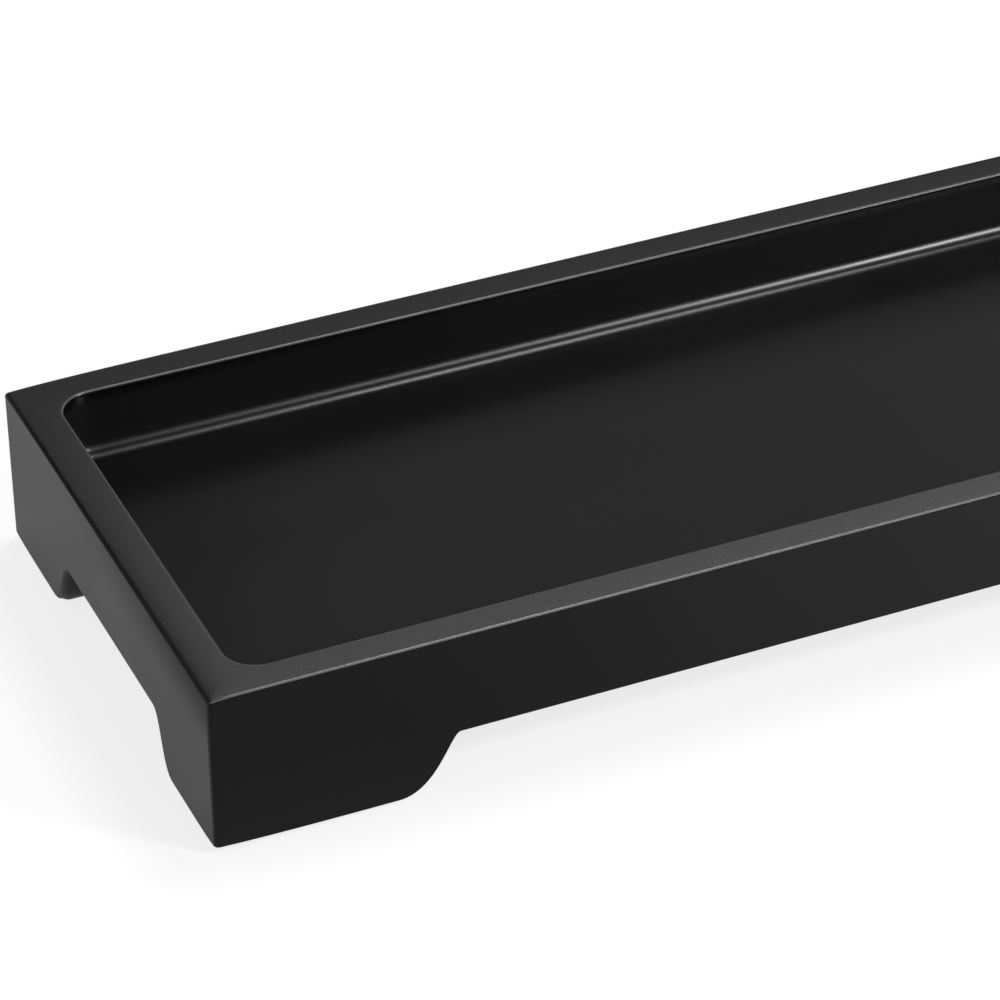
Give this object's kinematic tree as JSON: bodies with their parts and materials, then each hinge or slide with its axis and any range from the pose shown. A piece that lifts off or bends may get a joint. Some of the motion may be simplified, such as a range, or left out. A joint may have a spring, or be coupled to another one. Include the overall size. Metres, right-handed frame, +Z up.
{
  "type": "vanity tray",
  "caption": "Long rectangular satin black cast tray with a flat rim, a sunk well with a coved floor, and corner feet left by curved cut-outs in its sides.",
  "frame": {"origin": "middle of the footprint, on the surface that the pads stand on", "axes": "+X along the tray, +Y across it towards the back, +Z up out of the well"},
  "size_m": [0.3, 0.12, 0.0366],
  "materials": {
    "resin": "satin black cast resin with a faint grain on the rim",
    "silicone": "translucent grey silicone, smooth",
    "adhesive": "pale acrylic adhesive film"
  },
  "bodies": {
    "root": {"tray_body": "resin", "foot_pad_front_left": "silicone", "foot_pad_front_right": "silicone", "foot_pad_back_left": "silicone", "foot_pad_back_right": "silicone", "pad_adhesive_front_left": "adhesive", "pad_adhesive_front_right": "adhesive", "pad_adhesive_back_left": "adhesive", "pad_adhesive_back_right": "adhesive"}
  },
  "joints": []
}
